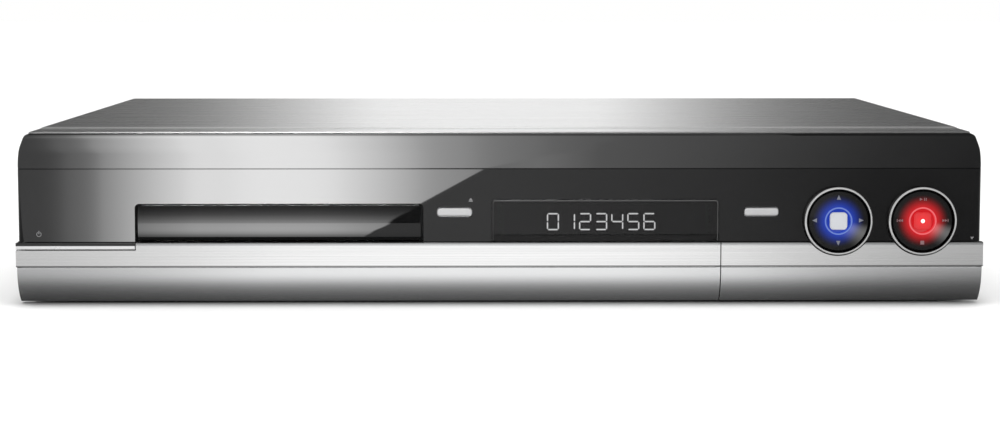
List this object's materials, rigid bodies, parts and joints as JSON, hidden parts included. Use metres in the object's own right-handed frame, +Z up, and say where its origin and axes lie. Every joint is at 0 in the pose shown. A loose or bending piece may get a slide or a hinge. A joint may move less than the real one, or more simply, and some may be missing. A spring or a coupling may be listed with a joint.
{
  "type": "dvd recorder",
  "caption": "Low full-width disc recorder with a loading tray, display, round dials, a fold-down connector flap and a hard disk inside.",
  "frame": {"origin": "middle of the bounding box, on the surface the feet stand on", "axes": "+X to the right and +Y to the back seen from in front, +Z up"},
  "size_m": [0.435, 0.33, 0.078],
  "materials": {
    "brushed_cover": "fine brushed sheet",
    "steel_sheet": "zinc plated sheet",
    "rubber": "matt rubber",
    "black_gloss": "polished black",
    "smoked_window": "smoked and polished",
    "silver_paint": "silver lacquer",
    "brushed_band": "brushed along its length",
    "silver_key": "silver lacquer",
    "chrome_ring": "bright plated",
    "black_moulding": "moulded black",
    "clear_ring": "clear light guide",
    "red_ring": "clear light guide",
    "white_key": "white moulding",
    "red_key": "red moulding",
    "circuit_board": "green board",
    "grey_plastic": "grey moulding",
    "display_glass": "display glass",
    "tray_plastic": "fine grain black",
    "white_gear": "white gear plastic",
    "belt_rubber": "black rubber",
    "motor_steel": "plated can",
    "polished_steel": "ground steel",
    "lens_glass": "coated glass",
    "cast_body": "cast and milled",
    "heatsink_alloy": "extruded",
    "cable_sheath": "ribbon sheath",
    "brass_pin": "bare brass"
  },
  "bodies": {
    "case": {"top_cover": "brushed_cover", "bottom_chassis": "steel_sheet", "feet": "rubber", "rear_panel": "steel_sheet", "rear_phono_sockets": "motor_steel", "rear_av_sockets": "black_moulding", "small_rear_sockets": "motor_steel", "mains_inlet": "black_moulding", "front_panel": "black_gloss", "front_frame": "black_moulding", "display_window": "smoked_window", "lower_fascia": "silver_paint", "trim_band": "brushed_band", "flap_pins": "polished_steel", "dial_rings": "chrome_ring", "key_switches": "grey_plastic", "front_boards": "circuit_board", "display_module": "display_glass", "front_sockets": "black_moulding", "drive_belt": "belt_rubber", "loading_motor": "motor_steel", "loader_frame": "black_moulding", "loader_cover": "steel_sheet", "hard_disk": "cast_body", "disk_board": "circuit_board", "disk_bracket": "steel_sheet", "main_board": "circuit_board", "heatsinks": "heatsink_alloy", "power_board": "circuit_board", "power_parts": "black_moulding", "fan_frame": "black_moulding", "flat_cable": "cable_sheath"},
    "flap": {"flap": "silver_paint", "flap_trim": "brushed_band"},
    "standby_bar": {"standby_button": "silver_key"},
    "open_close_key": {"open_close_button": "silver_key"},
    "ok_key": {"ok_button": "silver_key"},
    "left_rocker": {"left_dial_rocker": "black_moulding"},
    "left_pad": {"left_dial_pad": "black_gloss", "left_light_ring": "clear_ring"},
    "left_centre": {"left_centre_button": "white_key"},
    "right_rocker": {"right_dial_rocker": "black_moulding"},
    "right_pad": {"right_dial_pad": "black_gloss", "right_light_ring": "red_ring"},
    "right_centre": {"right_centre_button": "red_key"},
    "disc_tray": {"tray": "tray_plastic", "tray_front": "black_gloss"},
    "rack_gear": {"tray_gear": "white_gear"},
    "belt_pulley": {"pulley_gear": "white_gear"},
    "small_pulley": {"motor_pulley": "brass_pin"},
    "lift": {"traverse": "steel_sheet", "traverse_motors": "motor_steel", "guide_rods": "polished_steel"},
    "lift_cam": {"cam_slider": "white_gear"},
    "hub": {"turntable": "black_moulding"},
    "sled": {"pickup_sled": "cast_body", "pickup_lens": "lens_glass"},
    "feed_screw": {"lead_screw": "polished_steel"},
    "disc_clamp": {"clamper": "white_gear"},
    "fan_blades": {"fan_rotor": "black_moulding"}
  },
  "joints": [
    {"name": "tray_slide", "type": "slide", "parent": "case", "child": "disc_tray", "axis": [0, -1, 0], "range_m": [0, 0.138]},
    {"name": "rack_gear_spin", "type": "hinge", "parent": "case", "child": "rack_gear", "pos_m": [-0.1455, -0.1395, 0.027], "axis": [0, 0, 1], "range_deg": [0, 990.35]},
    {"name": "belt_pulley_spin", "type": "hinge", "parent": "case", "child": "belt_pulley", "pos_m": [-0.1275, -0.1395, 0.024], "axis": [0, 0, 1], "range_deg": [-1980.7, 0]},
    {"name": "small_pulley_spin", "type": "hinge", "parent": "case", "child": "small_pulley", "pos_m": [-0.0935, -0.1395, 0.0225], "axis": [0, 0, 1], "range_deg": [-7345.43, 0]},
    {"name": "lift_tilt", "type": "hinge", "parent": "case", "child": "lift", "pos_m": [-0.0995, -0.0064, 0.0232], "axis": [1, 0, 0], "range_deg": [0, 2.5]},
    {"name": "lift_cam_slide", "type": "slide", "parent": "case", "child": "lift_cam", "axis": [1, 0, 0], "range_m": [0, 0.0142]},
    {"name": "hub_spin", "type": "hinge", "parent": "lift", "child": "hub", "pos_m": [-0.0995, -0.0884, 0.036], "axis": [0, 0, 1], "continuous": true},
    {"name": "sled_slide", "type": "slide", "parent": "lift", "child": "sled", "axis": [0, 1, 0], "range_m": [0, 0.036]},
    {"name": "feed_screw_spin", "type": "hinge", "parent": "lift", "child": "feed_screw", "pos_m": [-0.072, -0.0584, 0.0273], "axis": [0, 1, 0], "range_deg": [0, 4330]},
    {"name": "disc_clamp_spin", "type": "hinge", "parent": "case", "child": "disc_clamp", "pos_m": [-0.0995, -0.0884, 0.045], "axis": [0, 0, 1], "continuous": true},
    {"name": "fan_spin", "type": "hinge", "parent": "case", "child": "fan_blades", "pos_m": [-0.034, 0.145, 0.035], "axis": [0, 1, 0], "continuous": true},
    {"name": "flap_hinge", "type": "hinge", "parent": "case", "child": "flap", "pos_m": [0.15848, -0.1561, 0.0089], "axis": [1, 0, 0], "range_deg": [0, 85]},
    {"name": "standby_press", "type": "slide", "parent": "case", "child": "standby_bar", "axis": [0, 1, 0], "range_m": [0, 0.0008], "stiffness_N_per_m": 800},
    {"name": "open_close_press", "type": "slide", "parent": "case", "child": "open_close_key", "axis": [0, 1, 0], "range_m": [0, 0.0008], "stiffness_N_per_m": 800},
    {"name": "ok_press", "type": "slide", "parent": "case", "child": "ok_key", "axis": [0, 1, 0], "range_m": [0, 0.0008], "stiffness_N_per_m": 800},
    {"name": "left_dial_up_down", "type": "hinge", "parent": "case", "child": "left_rocker", "pos_m": [0.15195, -0.15675, 0.03795], "axis": [1, 0, 0], "range_deg": [-2, 2], "stiffness_Nm_per_rad": 0.5},
    {"name": "left_dial_left_right", "type": "hinge", "parent": "left_rocker", "child": "left_pad", "pos_m": [0.15195, -0.15675, 0.03795], "axis": [0, 0, 1], "range_deg": [-2, 2], "stiffness_Nm_per_rad": 0.5},
    {"name": "left_centre_press", "type": "slide", "parent": "left_pad", "child": "left_centre", "axis": [0, 1, 0], "range_m": [0, 0.0008], "stiffness_N_per_m": 600},
    {"name": "right_dial_up_down", "type": "hinge", "parent": "case", "child": "right_rocker", "pos_m": [0.1898, -0.15675, 0.03795], "axis": [1, 0, 0], "range_deg": [-2, 2], "stiffness_Nm_per_rad": 0.5},
    {"name": "right_dial_left_right", "type": "hinge", "parent": "right_rocker", "child": "right_pad", "pos_m": [0.1898, -0.15675, 0.03795], "axis": [0, 0, 1], "range_deg": [-2, 2], "stiffness_Nm_per_rad": 0.5},
    {"name": "right_centre_press", "type": "slide", "parent": "right_pad", "child": "right_centre", "axis": [0, 1, 0], "range_m": [0, 0.0008], "stiffness_N_per_m": 600}
  ],
  "couplings": [
    {"joint": "rack_gear_spin", "follows": "tray_slide", "rad_per_m": 125},
    {"joint": "belt_pulley_spin", "follows": "tray_slide", "rad_per_m": -250},
    {"joint": "small_pulley_spin", "follows": "tray_slide", "rad_per_m": -926.47},
    {"joint": "lift_cam_slide", "follows": "lift_tilt", "m_per_rad": 0.32086},
    {"joint": "feed_screw_spin", "follows": "sled_slide", "rad_per_m": 2094.4}
  ]
}
